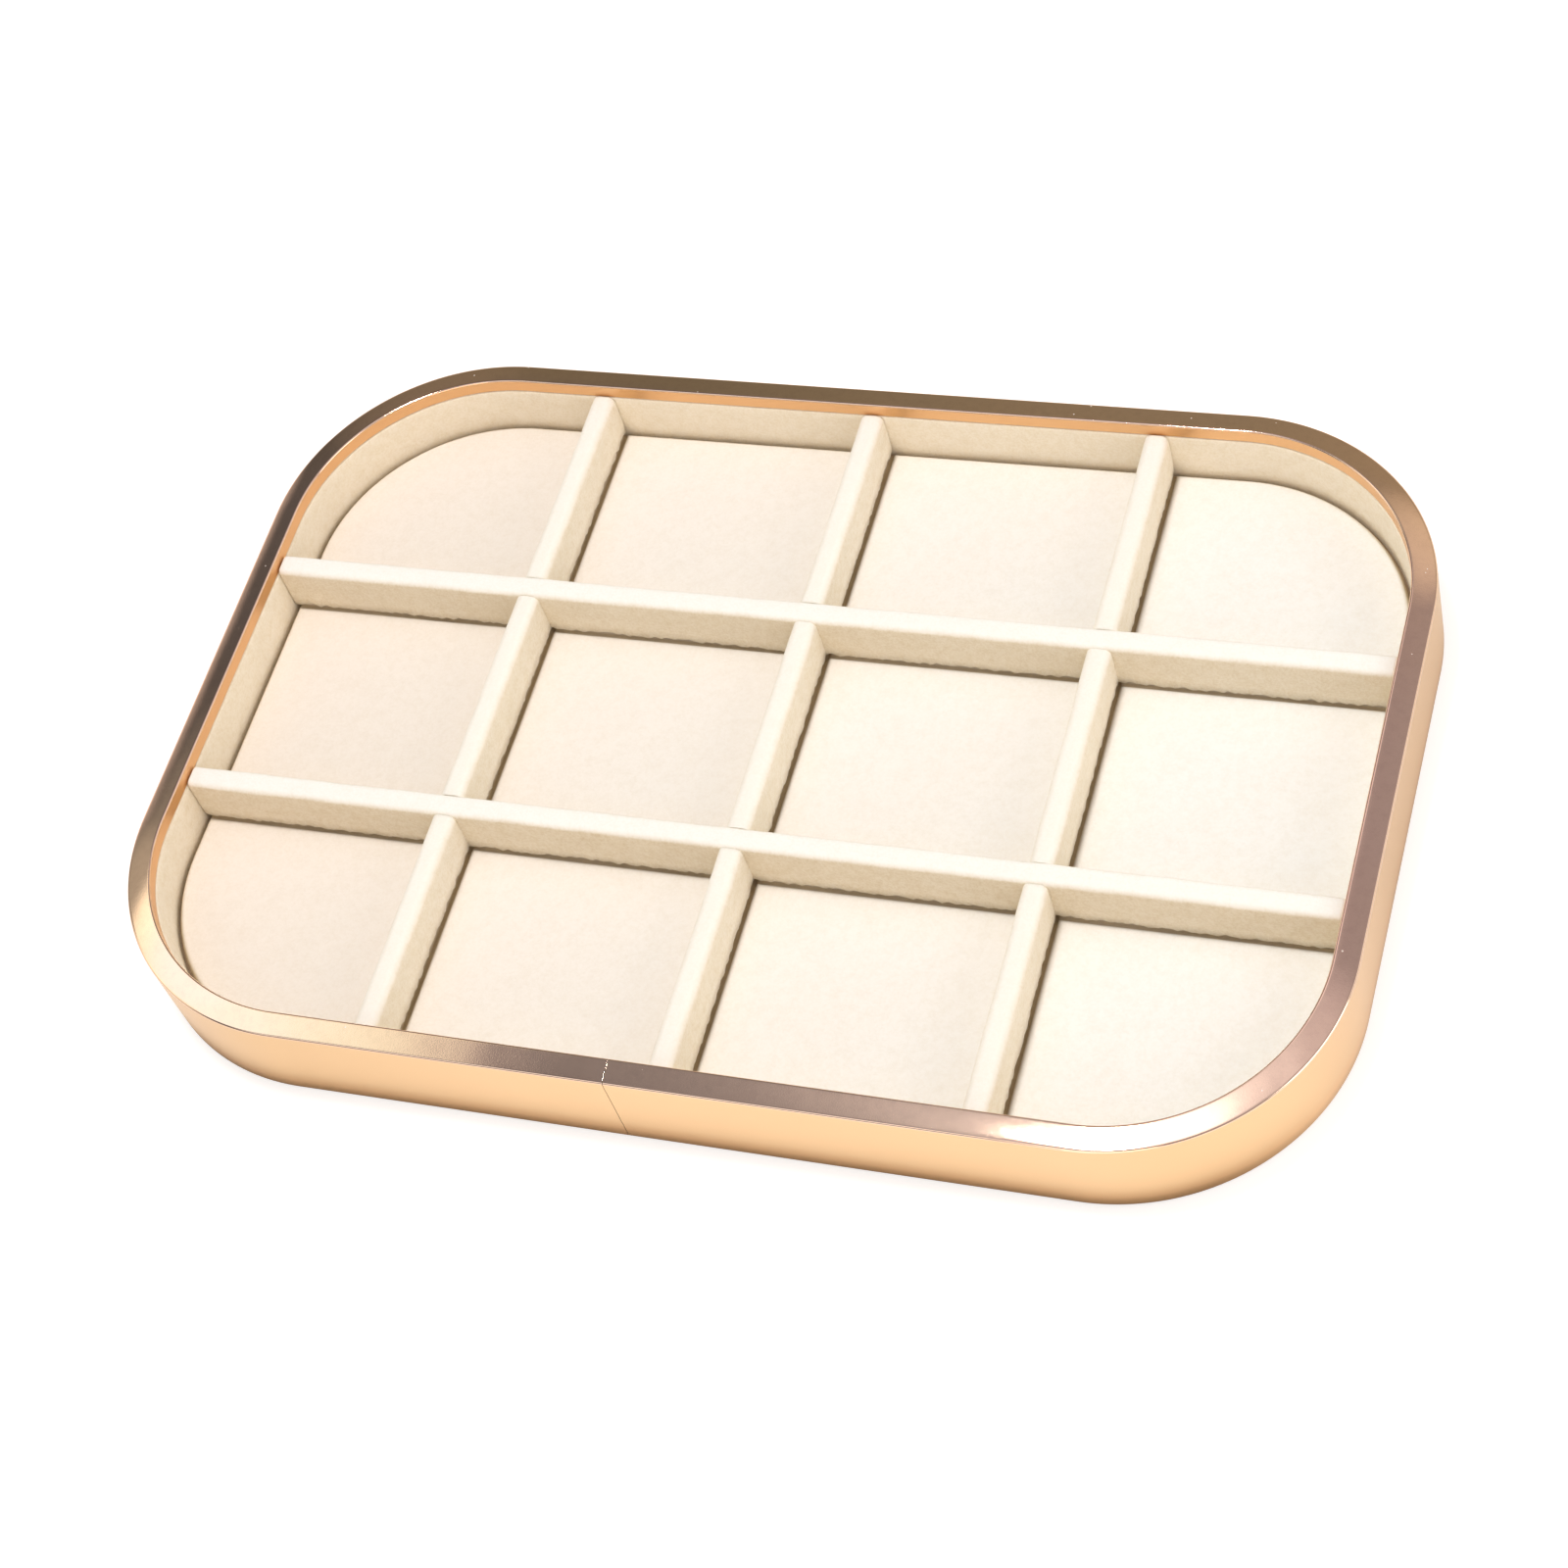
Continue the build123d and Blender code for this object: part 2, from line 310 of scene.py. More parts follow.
def frame_metal_band():
    """The bent frame: foot, board channel, splice channel, lip, sloping rim and wall."""
    corners = [
        (0, 0),
        (FOOT_WIDTH, 0),
        (FOOT_WIDTH, FOOT_THICKNESS),
        (WALL_THICKNESS, FOOT_THICKNESS),
        (WALL_THICKNESS, LEDGE_BOTTOM),
        (HOOK_REACH, LEDGE_BOTTOM),
        (HOOK_REACH, HOOK_TOP),
        (HOOK_BACK, HOOK_TOP),
        (HOOK_BACK, LEDGE_TOP),
        (WALL_THICKNESS, LEDGE_TOP),
        (WALL_THICKNESS, rim_height(WALL_THICKNESS) - RIM_THICKNESS),
        (HOOK_BACK, rim_height(HOOK_BACK) - RIM_THICKNESS),
        (HOOK_BACK, LIP_BOTTOM),
        (RIM_WIDTH, LIP_BOTTOM),
        (RIM_WIDTH, RIM_TOP),
    ]
    for step in range(1, RIM_CROWN_STEPS):
        share = 1 - step / RIM_CROWN_STEPS
        crown = 4 * RIM_CROWN * share * (1 - share)
        corners.append((share * RIM_WIDTH, rim_height(share * RIM_WIDTH) + crown))
    corners.append((0, rim_height(0)))
    # Inward, height, offset from the corner and segments
    rounded = (
        (0, 0, FOOT_RADIUS, 10),
        (WALL_THICKNESS, FOOT_THICKNESS, FOOT_RADIUS - WALL_THICKNESS, 6),
        (0, rim_height(0), ARRIS, 5),
        (RIM_WIDTH, RIM_TOP, INNER_ARRIS, 5),
        (RIM_WIDTH, LIP_BOTTOM, ARRIS, 3),
    )
    piece = carried_round("frame_band_polished", corners, rounded, SEAM_X, SEAM_GAP, FRAME_STEP)

    def at_seam(point):
        return abs(abs(point.x - SEAM_X) - SEAM_GAP / 2) < NEAR and point.y < 0

    pick(piece, "edges", all_points(at_seam))
    bpy.ops.mesh.bevel(
        offset=SEAM_ARRIS, segments=SEAM_ARRIS_STEPS, affect="EDGES", clamp_overlap=True
    )
    finish_mesh(piece)
    # The normals follow the broad faces, so that these mirror as flat ones
    flats = piece.modifiers.new("flats", "WEIGHTED_NORMAL")
    flats.keep_sharp = True
    apply_modifiers(piece)
    return piece


def edge_distance(x, y):
    """How far a point lies inside the frame's outer face, and the way outwards from there."""
    past_x = abs(x) - CORNER_X
    past_y = abs(y) - CORNER_Y
    if past_x > 0 and past_y > 0:
        reach = sqrt(past_x * past_x + past_y * past_y)
        way = Vector((copysign(past_x, x) / reach, copysign(past_y, y) / reach, 0))
        return CORNER_RADIUS - reach, way
    if past_x > past_y:
        return CORNER_RADIUS - past_x, Vector((copysign(1, x), 0, 0))
    return CORNER_RADIUS - past_y, Vector((0, copysign(1, y), 0))


def liner_cloth_band():
    """The liner's cloth, turned over the top edge of its board and soft down its face."""
    corners = [(LINER_CLOTH_BACK, BOARD_TOP + LAYER_GAP), (LINER_FACE, BOARD_TOP + LAYER_GAP)]
    corners += [(LINER_FACE, height) for height in LINER_SIDE_HEIGHTS]
    corners += [
        (LINER_FACE, LINER_TOP),
        (LINER_BACK + LAYER_GAP, LINER_TOP),
        (LINER_BACK + LAYER_GAP, LINER_TOP - LINER_TURN_IN),
        (LINER_CLOTH_BACK, LINER_TOP - LINER_TURN_IN),
    ]
    rounded = ((LINER_FACE, LINER_TOP, LINER_TOP_ROUNDING, 4),)
    piece = carried_round(
        "liner_cloth_band", corners, rounded, LINER_SEAM_X, LINER_SEAM_GAP, LINER_STEP
    )
    finish_mesh(piece)

    def soften(place):
        inside, way = edge_distance(place.x, place.y)
        behind = inside < LINER_FACE - LINER_FACE_REACH
        if behind or not FLOOR_TOP < place.z < LINER_TOP - LINER_TOP_MARGIN:
            return Vector()
        return -way * (LINER_BULGE + unevenness(place, SEED, LINER_SWELL))

    shift_points(piece, soften)
    return piece


# The padded floor


def grid_lines(half, divider_places):
    """Where the floor's grid lines run, closer together at its edge and beside the dividers."""
    lines = {half - mark * MM for mark in FLOOR_EDGE_LINES}
    lines |= {mark * MM - half for mark in FLOOR_EDGE_LINES}
    for place in divider_places:
        lines.add(place)
        lines |= {place - away * MM for away in GROOVE_LINES}
        lines |= {place + away * MM for away in GROOVE_LINES}
    ordered = sorted(lines)
    filled = []
    for low, high in zip(ordered, ordered[1:]):
        count = max(1, round((high - low) / FLOOR_STEP))
        filled += [low + (high - low) * step / count for step in range(count)]
    return filled + [ordered[-1]]


def rounded_place(x, y):
    """Carry a point of a square-cornered sheet onto the sheet with rounded corners."""
    past_x = abs(x) - CORNER_X
    past_y = abs(y) - CORNER_Y
    if past_x <= 0 or past_y <= 0:
        return x, y
    reach = max(past_x, past_y)
    turn = pi / 4 * past_y / past_x if past_x >= past_y else pi / 2 - pi / 4 * past_x / past_y
    rounded_x = CORNER_X + reach * cos(turn)
    rounded_y = CORNER_Y + reach * sin(turn)
    return copysign(rounded_x, x), copysign(rounded_y, y)


def groove(away, drop, rounding):
    """How deep the floor is tucked down at a distance from a divider's face."""
    fall = (rounding + GROOVE_OFFSET - away) / rounding
    if away < -WRAP_THICKNESS:
        fall = 1 + (away + WRAP_THICKNESS) / GROOVE_BACK
    return drop * (1 - sqrt(1 - clamp(fall) ** 2))


def floor_height(x, y):
    """The padded floor's height: rolled down at its edge, tucked in along the dividers."""
    inside = edge_distance(x, y)[0] - FLOOR_EDGE
    roll = max(0.0, FLOOR_EDGE_ROUNDING - inside) / FLOOR_EDGE_ROUNDING
    from_cross = min(abs(x - place) for place in CROSS_PLACES) - DIVIDER_HALF
    from_long = min(abs(y - place) for place in LONG_PLACES) - DIVIDER_HALF
    drop = max(
        FLOOR_EDGE_DROP * (1 - sqrt(max(0.0, 1 - roll**2))),
        groove(from_cross, CROSS_GROOVE_DROP, CROSS_GROOVE_ROUNDING),
        groove(from_long, LONG_GROOVE_DROP, LONG_GROOVE_ROUNDING),
    )
    inside = max(0.0, inside)
    away = max(0.0, min(from_cross, from_long))
    crown = FLOOR_CROWN * (1 - exp(-away / FLOOR_CROWN_REACH))
    crown *= 1 - exp(-inside / FLOOR_CROWN_EDGE_REACH)
    waves = unevenness((x, y, 0), SEED, FLOOR_WAVES) * min(1.0, inside / FLOOR_WAVES_EDGE)
    return FLOOR_TOP - drop + crown + waves


def padded_floor():
    """One padded sheet with a rolled edge, its cloth turned down beside the card."""
    lines_x = grid_lines(HALF_LENGTH - FLOOR_EDGE, CROSS_PLACES)
    lines_y = grid_lines(HALF_WIDTH - FLOOR_EDGE, LONG_PLACES)
    deselect_everything()
    bpy.ops.mesh.primitive_grid_add(
        x_subdivisions=len(lines_x) - 1, y_subdivisions=len(lines_y) - 1, size=1
    )
    piece = added("padded_floor")
    shape = bmesh.from_edit_mesh(piece.data)
    for index, vertex in enumerate(shape.verts):
        row, column = divmod(index, len(lines_x))
        x, y = rounded_place(lines_x[column], lines_y[row])
        vertex.co = (x, y, floor_height(x, y))
    bmesh.update_edit_mesh(piece.data)
    pick(piece, "edges", lambda edge: edge.is_boundary)
    hem = ((0, FLOOR_HEM), (FLOOR_CLOTH, FLOOR_HEM), (0, CARD_TOP + LAYER_GAP))
    for inward, height in hem:
        bpy.ops.mesh.extrude_region_move()
        shape = bmesh.from_edit_mesh(piece.data)
        for vertex in shape.verts:
            if vertex.select:
                way = edge_distance(vertex.co.x, vertex.co.y)[1]
                vertex.co = vertex.co - way * inward
                vertex.co.z = height
        bmesh.update_edit_mesh(piece.data)
    bpy.ops.mesh.edge_face_add()
    return finish_mesh(piece, FLOOR_SMOOTH_ANGLE)


# The dividers' padded wraps


def wrap_strip(name, length, top, rounding, seed):
    """A cloth wrap along X: a rounded strip, open below, with soft faces and an uneven hem."""
    bottom = DIVIDER_BOTTOM + WRAP_HEM
    side_heights = [bottom + share * (top - bottom) for share in WRAP_SIDE_SHARES]
    corners = [(-DIVIDER_HALF, bottom), (DIVIDER_HALF, bottom)]
    corners += [(DIVIDER_HALF, height) for height in side_heights]
    corners += [(DIVIDER_HALF, top), (-DIVIDER_HALF, top)]
    corners += [(-DIVIDER_HALF, height) for height in reversed(side_heights)]
    piece = section(name, corners, -length / 2, 0)
    pick(piece, "verts", lambda vertex: vertex.co.z > top - NEAR)
    bpy.ops.mesh.bevel(offset=rounding, segments=WRAP_ROUNDING_STEPS, affect="VERTICES")
    bpy.ops.mesh.select_all(action="SELECT")
    run_straight((1, 0, 0), length, WRAP_STEP)

    def at_end(edge):
        low, high = points_of(edge)
        upright = abs(low.x - high.x) < NEAR and abs(abs(low.x) - length / 2) < NEAR
        return upright and max(low.z, high.z) > bottom + NEAR

    pick(piece, "edges", at_end)
    bpy.ops.mesh.bevel(offset=WRAP_END_ROUNDING, segments=WRAP_END_STEPS, affect="EDGES")
    pick(piece, "faces", all_points(lambda point: point.z < bottom + NEAR))
    bpy.ops.mesh.delete(type="FACE")
    finish_mesh(piece, WRAP_SMOOTH_ANGLE)

    def soften(place):
        swell = unevenness(place, seed, WRAP_SWELL) * min(1, abs(place.y) / WRAP_SWELL_START)
        move = Vector((0, swell if place.y > 0 else -swell, 0))
        if place.z > top - WRAP_TOP_DEPTH:
            move.z = unevenness(place, seed, WRAP_TOP_WAVES) - WRAP_TOP_SINK
        if place.z < bottom + NEAR:
            move.z = clamp(unevenness(place, seed, HEM_RAGS), HEM_LOWEST, HEM_HIGHEST)
        return move

    shift_points(piece, soften)
    cloth = piece.modifiers.new("cloth", "SOLIDIFY")
    cloth.thickness = WRAP_THICKNESS
    cloth.offset = -1
    cloth.use_even_offset = True
    cloth.use_rim = True
    apply_modifiers(piece)
    return piece


def cut_slots(piece, places, low, high):
    """Open the half laps through a wrap, where the other dividers cross it."""
    for place in places:
        deselect_everything()
        bpy.ops.mesh.primitive_cube_add(size=1, location=(place, 0, (low + high) / 2))
        cutter = bpy.context.object
        cutter.scale = (2 * (DIVIDER_HALF - LAP_PRESS), 4 * DIVIDER_HALF, high - low)
        bpy.ops.object.transform_apply(location=True, rotation=True, scale=True)
        slot = piece.modifiers.new("slot", "BOOLEAN")
        slot.operation = "DIFFERENCE"
        slot.solver = "EXACT"
        slot.object = cutter
        apply_modifiers(piece)
        bpy.data.objects.remove(cutter)


def long_wrap(name, place_y, seed):
    length = 2 * (HALF_LENGTH - LINER_FACE - WRAP_END_GAP)
    piece = wrap_strip(name, length, LONG_DIVIDER_TOP, LONG_WRAP_ROUNDING, seed)
    lap_top = LAP_HEIGHT + LAP_HEIGHT_CLEARANCE
    cut_slots(piece, CROSS_PLACES, DIVIDER_BOTTOM - LAP_OVERCUT, lap_top)
    piece.data.transform(Matrix.Translation((0, place_y, 0)))
    return piece


def cross_wrap(name, place_x, seed):
    length = 2 * (HALF_WIDTH - LINER_FACE - WRAP_END_GAP)
    piece = wrap_strip(name, length, CROSS_DIVIDER_TOP, CROSS_WRAP_ROUNDING, seed)
    cut_slots(piece, LONG_PLACES, LAP_HEIGHT, CROSS_DIVIDER_TOP + LAP_OVERCUT)
    turned = Matrix.Translation((place_x, 0, 0)) @ Matrix.Rotation(pi / 2, 4, "Z")
    piece.data.transform(turned)
    return piece


def underside_felt(low, high):
    """The felt under the base board, inside the foot, between two corners of its box."""
    deselect_everything()
    bpy.ops.mesh.primitive_plane_add(size=1, location=(0, 0, low.z))
    bpy.context.object.scale = (high.x - low.x, high.y - low.y, 1)
    piece = added("underside_felt")
    bpy.ops.mesh.select_mode(type="VERT")
    bpy.ops.mesh.select_all(action="SELECT")
    radius = CORNER_RADIUS - (HALF_LENGTH - high.x)
    bpy.ops.mesh.bevel(offset=radius, segments=FELT_CORNER_STEPS, affect="VERTICES")
    bpy.ops.mesh.select_all(action="SELECT")
    rise = high.z - low.z - LAYER_GAP
    bpy.ops.mesh.extrude_region_move(TRANSFORM_OT_translate={"value": (0, 0, rise)})
    return finish_mesh(piece)


# Finishes

WHITE = (1, 1, 1, 1)
SMUDGE = (0.42, 0.27, 0.25, 1)
SMUDGE_STRENGTH = 0.13
DUST = (0.86, 0.80, 0.74, 1)
DUST_STRENGTH = 0.8
FOOT_SHADE = (0.55, 0.46, 0.38)
FOOT_SHADE_TOP = 10 * MM

# How large the features are that a finish shows
METAL_CLOUDS = 30 * MM
METAL_WAVES = 22 * MM
METAL_HAZE = 0.6 * MM
METAL_GRAIN = 0.4 * MM
METAL_GRAIN_DEPTH = 0.004 * MM
SMUDGES = 3 * MM
SPECK_SPACING = 6.2 * MM
SPECK_SIZES = (0.026, 0.052)
CLOTH_CLOUDS = 30 * MM
CLOTH_BLOTCHES = 3.2 * MM
CLOTH_CUSHIONS = 3.5 * MM
CLOTH_NAP = 0.8 * MM

# How much of the blotches and of the grain is left under the painted light where a divider's cloth
# looks up
BLOTCHES_ON_TOPS = 0.25
GRAIN_ON_TOPS = 0.4
# Where the floor is palest and where it has all of its left end's colour, a painted shade that
# darkens and warms it to the left
FLOOR_LIT_END = 170 * MM
FLOOR_SHADED_END = -170 * MM
# How much deeper the cloth's cushions are than its nap
CUSHION_DEPTH = 2.5


class Nodes:
    """A node tree, with short ways to add what the finishes and the room share."""

    def __init__(self, tree, coordinates):
        self.tree = tree
        self.place = self.node("TexCoord").outputs[coordinates]

    def node(self, kind, **values):
        made = self.tree.nodes.new("ShaderNode" + kind)
        for key, value in values.items():
            setattr(made, key, value)
        return made

    def link(self, source, target):
        self.tree.links.new(source, target)

    def feed(self, socket, value):
        """Link a socket to another one, or set it to a value."""
        if isinstance(value, bpy.types.NodeSocket):
            self.link(value, socket)
        else:
            socket.default_value = value

    def noise(self, size, detail=3.0, roughness=0.55, stretch=(1, 1, 1)):
        """Noise whose features are about a size in metres, drawn out along an axis."""
        mapping = self.node("Mapping")
        mapping.inputs["Scale"].default_value = stretch
        self.link(self.place, mapping.inputs["Vector"])
        made = self.node("TexNoise")
        made.inputs["Scale"].default_value = 1 / size
        made.inputs["Detail"].default_value = detail
        made.inputs["Roughness"].default_value = roughness
        self.link(mapping.outputs["Vector"], made.inputs["Vector"])
        return made.outputs["Fac"]

    def ramp(self, source, *stops):
        """Carry a value onto colours or greys, each given after its place from 0 to 1."""
        made = self.node("ValToRGB")
        elements = made.color_ramp.elements
        while len(elements) < len(stops):
            elements.new(0.5)
        for element, (place, colour) in zip(elements, stops):
            element.position = place
            element.color = (*colour, 1) if isinstance(colour, tuple) else (*[colour] * 3, 1)
        self.link(source, made.inputs["Fac"])
        return made.outputs["Color"]

    def mix(self, share, first, second, blend="MIX"):
        made = self.node("Mix", data_type="RGBA", blend_type=blend)
        for name, value in (("Factor", share), ("A", first), ("B", second)):
            self.feed(made.inputs[name], value)
        return made.outputs["Result"]

    def spread(self, source, low, high, start=0.0, end=1.0):
        """Carry a value between a start and an end onto a range."""
        made = self.node("MapRange")
        made.inputs["From Min"].default_value = start
        made.inputs["From Max"].default_value = end
        made.inputs["To Min"].default_value = low
        made.inputs["To Max"].default_value = high
        self.link(source, made.inputs["Value"])
        return made.outputs["Result"]

    def combine(self, operation, first, second):
        made = self.node("Math", operation=operation)
        self.link(first, made.inputs[0])
        self.link(second, made.inputs[1])
        return made.outputs[0]

    def times(self, first, second):
        return self.combine("MULTIPLY", first, second)

    def highest(self, first, second):
        return self.combine("MAXIMUM", first, second)

    def vector(self, operation, source, value=None):
        """One step of reckoning with a vector, and with a fixed one where it takes two."""
        made = self.node("VectorMath", operation=operation)
        self.link(source, made.inputs[0])
        if value is not None:
            made.inputs[1].default_value = value
        return made.outputs["Value" if operation in ("LENGTH", "DOT_PRODUCT") else "Vector"]

    def along(self, axis, start, end):
        """How far a point has come from one place along an axis to another, 0 to 1."""
        apart = self.node("SeparateXYZ")
        self.link(self.place, apart.inputs["Vector"])
        return self.spread(apart.outputs[axis], 0.0, 1.0, start, end)


class Finish(Nodes):
    """The node tree of a new material."""

    def __init__(self, name):
        self.material = bpy.data.materials.new(name)
        self.material.use_nodes = True
        super().__init__(self.material.node_tree, "Object")
        self.shader = self.tree.nodes["Principled BSDF"]

    def set(self, **sockets):
        """Give sockets of the shader values or links, with _ for a space in their names."""
        for key, value in sockets.items():
            self.feed(self.shader.inputs[key.replace("_", " ")], value)

    def attribute(self, name):
        return self.node("Attribute", attribute_name=name).outputs["Fac"]

    def bump(self, height, distance, strength=1.0, under=None):
        made = self.node("Bump")
        made.inputs["Distance"].default_value = distance
        made.inputs["Strength"].default_value = strength
        self.link(height, made.inputs["Height"])
        if under:
            self.link(under, made.inputs["Normal"])
        return made.outputs["Normal"]


def foot_shade(finish):
    """Darker towards the table, where little light comes in below the wall."""
    return finish.ramp(
        finish.along("Z", 0.0, FOOT_SHADE_TOP),
        (0.05, FOOT_SHADE),
        (0.25, tuple(sqrt(value) for value in FOOT_SHADE)),
        (0.55, (0.99, 0.93, 0.88)),
        (0.95, 1.0),
    )


def dust_specks(finish):
    """Where a speck lies: small spots, each at a random place of its own."""
    spots = finish.node("TexVoronoi")
    spots.inputs["Scale"].default_value = 1 / SPECK_SPACING
    finish.link(finish.place, spots.inputs["Vector"])
    return finish.spread(spots.outputs["Distance"], DUST_STRENGTH, 0.0, *SPECK_SIZES)


def polished_metal(name, colour, darker, roughness, wave, dusty=False, shaded_foot=False):
    """Plated metal with a slow wave, a faint haze and, where it lies open, smudges and dust."""
    finish = Finish(name)
    base = finish.mix(finish.noise(METAL_CLOUDS, 2), colour, darker)
    metallic = 1.0
    if shaded_foot:
        base = finish.mix(1.0, base, foot_shade(finish), "MULTIPLY")
    if dusty:
        smudge = finish.spread(finish.noise(SMUDGES, 5, 0.7), 0.0, SMUDGE_STRENGTH, 0.45, 0.75)
        speck = dust_specks(finish)
        base = finish.mix(speck, finish.mix(smudge, base, SMUDGE), DUST)
        metallic = finish.spread(speck, 1.0, 0.0)
    waves = finish.bump(finish.noise(METAL_WAVES, 1), wave)
    finish.set(
        Base_Color=base,
        Metallic=metallic,
        Roughness=finish.spread(finish.noise(METAL_HAZE, 4, 0.7), *roughness),
        Normal=finish.bump(finish.noise(METAL_GRAIN, 3), METAL_GRAIN_DEPTH, under=waves),
    )
    return finish.material


def suede_cloth(name, pale, warm, shaded, bump, painted_lit_tops=None, left=None, painted_crease_shade=None):
    """Short-napped cloth: broad clouds of colour, blotches of turned nap and a fine grain."""
    finish = Finish(name)
    cloud = finish.spread(finish.noise(CLOTH_CLOUDS, 3), 0.0, 1.0, 0.30, 0.70)
    base = finish.mix(cloud, pale, warm)
    # Painted light: the cloth is paler where it looks up towards the lamps
    if painted_lit_tops:
        base = finish.mix(finish.attribute("upward"), base, painted_lit_tops)
    # Painted shade: darker and warmer towards the floor's left end
    if left:
        base = finish.mix(finish.along("X", FLOOR_LIT_END, FLOOR_SHADED_END), base, left)
    # Painted shade: brown where the floor is tucked down into its creases
    if painted_crease_shade:
        base = finish.mix(finish.attribute("painted_crease_shade"), base, painted_crease_shade)
    nap = finish.noise(CLOTH_NAP, 5, 0.7)
    blotches = finish.spread(finish.noise(CLOTH_BLOTCHES, 5, 0.66), 0.0, 0.65, 0.42, 0.72)
    grain = finish.spread(nap, 0.0, 0.8, 0.40, 0.75)
    for shade, on_tops in ((blotches, BLOTCHES_ON_TOPS), (grain, GRAIN_ON_TOPS)):
        if painted_lit_tops:
            shade = finish.times(shade, finish.spread(finish.attribute("upward"), 1.0, on_tops))
        base = finish.mix(shade, base, finish.mix(1.0, base, shaded, "MULTIPLY"))
    cushions = finish.bump(finish.noise(CLOTH_CUSHIONS, 4, 0.6), CUSHION_DEPTH * bump, 0.8)
    finish.set(
        Base_Color=base,
        Roughness=finish.spread(nap, 0.82, 1.0),
        Normal=finish.bump(nap, bump, 0.8, cushions),
        Sheen_Weight=0.03,
        Sheen_Roughness=0.45,
        Specular_IOR_Level=0.1,
    )
    return finish.material


def pressed_board(name, pale, dark, size):
    """Pressed fibres with darker flecks, both about a size."""
    finish = Finish(name)
    fibres = finish.noise(size, 6, 0.7)
    flecks = finish.spread(finish.noise(0.3 * size, 3, 0.6, (1, 0.35, 1)), -0.2, 0.6)
    finish.set(
        Base_Color=finish.mix(flecks, finish.mix(fibres, pale, dark), dark),
        Roughness=0.9,
        Normal=finish.bump(fibres, 0.08 * MM),
    )
    return finish.material


rim_mirror = polished_metal(
    "rim_mirror",
    colour=(0.95, 0.70, 0.55, 1),
    darker=(0.93, 0.67, 0.51, 1),
    roughness=(0.04, 0.085),
    wave=0.06 * MM,
    dusty=True,
)
wall_satin = polished_metal(
    "wall_satin",
    colour=(0.84, 0.565, 0.31, 1),
    darker=(0.82, 0.54, 0.29, 1),
    roughness=(0.30, 0.38),
    wave=0.03 * MM,
    shaded_foot=True,
)
lip_gold = polished_metal(
    "lip_gold",
    colour=(0.82, 0.50, 0.255, 1),
    darker=(0.80, 0.47, 0.23, 1),
    roughness=(0.30, 0.40),
    wave=0.03 * MM,
)
plain_inside = polished_metal(
    "plain_inside",
    colour=(0.75, 0.68, 0.58, 1),
    darker=(0.64, 0.58, 0.49, 1),
    roughness=(0.35, 0.5),
    wave=0.02 * MM,
)
floor_suede = suede_cloth(
    "floor_suede",
    pale=(0.915, 0.915, 0.885, 1),
    warm=(0.915, 0.90, 0.855, 1),
    shaded=(0.955, 0.94, 0.915, 1),
    bump=0.06 * MM,
    # Painted shade: the floor darker and warmer towards its left end
    left=(0.875, 0.80, 0.715, 1),
    # Painted shade: brown in the tucked-down creases
    painted_crease_shade=(0.58, 0.46, 0.29, 1),
)
# The dividers have the floor's cream cloth, but their sides get darker, warmer colours as painted
# shade, the cross dividers' sides less dark than the long ones', and their tops paler colours as
# painted light
long_divider_suede_painted_shade = suede_cloth(
    "long_divider_suede_painted_shade",
    pale=(0.83, 0.765, 0.64, 1),
    warm=(0.81, 0.735, 0.60, 1),
    shaded=(0.89, 0.85, 0.77, 1),
    bump=0.08 * MM,
    painted_lit_tops=(0.90, 0.89, 0.85, 1),
)
cross_divider_suede_painted_light = suede_cloth(
    "cross_divider_suede_painted_light",
    pale=(0.935, 0.88, 0.775, 1),
    warm=(0.915, 0.855, 0.735, 1),
    shaded=(0.91, 0.88, 0.81, 1),
    bump=0.08 * MM,
    painted_lit_tops=(0.895, 0.865, 0.80, 1),
)
liner_suede = suede_cloth(
    "liner_suede",
    pale=(0.95, 0.885, 0.765, 1),
    warm=(0.93, 0.86, 0.73, 1),
    shaded=(0.92, 0.89, 0.82, 1),
    bump=0.06 * MM,
)
felt = suede_cloth(
    "underside_felt_cloth",
    pale=(0.66, 0.58, 0.47, 1),
    warm=(0.56, 0.48, 0.38, 1),
    shaded=(0.8, 0.78, 0.75, 1),
    bump=0.1 * MM,
)
fibreboard = pressed_board(
    "fibreboard", pale=(0.42, 0.29, 0.17, 1), dark=(0.25, 0.16, 0.09, 1), size=1.8 * MM
)
greyboard = pressed_board(
    "greyboard", pale=(0.36, 0.34, 0.30, 1), dark=(0.22, 0.21, 0.18, 1), size=1.2 * MM
)
mill_aluminium = polished_metal(
    "mill_aluminium",
    colour=(0.72, 0.72, 0.73, 1),
    darker=(0.62, 0.62, 0.64, 1),
    roughness=(0.3, 0.45),
    wave=0.02 * MM,
)
zinc_steel = polished_metal(
    "zinc_steel",
    colour=(0.50, 0.50, 0.52, 1),
    darker=(0.38, 0.38, 0.41, 1),
    roughness=(0.25, 0.4),
    wave=0.02 * MM,
)


# The tray's pieces with their finishes

RIM, WALL, LIP, INSIDE = range(4)
# How far a face's normal goes up, outwards or down before the face counts as such
LOOKS_UP = 0.25
LOOKS_OUT = 0.3
LOOKS_DOWN = -0.2
WALL_DEPTH = 0.2 * MM
LIP_MARGIN = 0.1 * MM
# Where a wrap's painted top light begins, by the upward part of its normal, and how much more is
# full
UPWARD_START = 0.15
UPWARD_SPAN = 0.7


